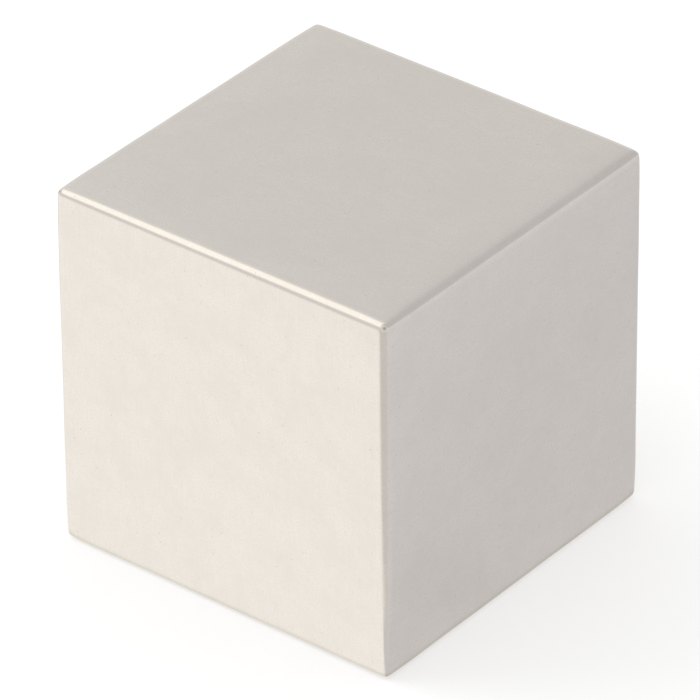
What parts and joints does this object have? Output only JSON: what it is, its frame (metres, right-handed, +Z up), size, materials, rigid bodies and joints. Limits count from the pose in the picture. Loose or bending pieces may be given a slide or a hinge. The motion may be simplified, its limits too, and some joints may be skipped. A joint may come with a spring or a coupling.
{
  "type": "block magnet",
  "caption": "Solid cube magnet with flat ground faces, small tumbled edges and a satin nickel finish, holding to steel or to another magnet by its pole faces.",
  "frame": {"origin": "middle of the lower pole face, on which the block rests", "axes": "+Z up through the two pole faces, +X out of the right side face, -Y out of the front side face"},
  "size_m": [0.025, 0.025, 0.025],
  "materials": {
    "nickel_plate": "satin nickel plate over ground magnet alloy, smooth with a faint cloudy haze"
  },
  "bodies": {
    "root": {"magnet_block": "nickel_plate"}
  },
  "joints": []
}
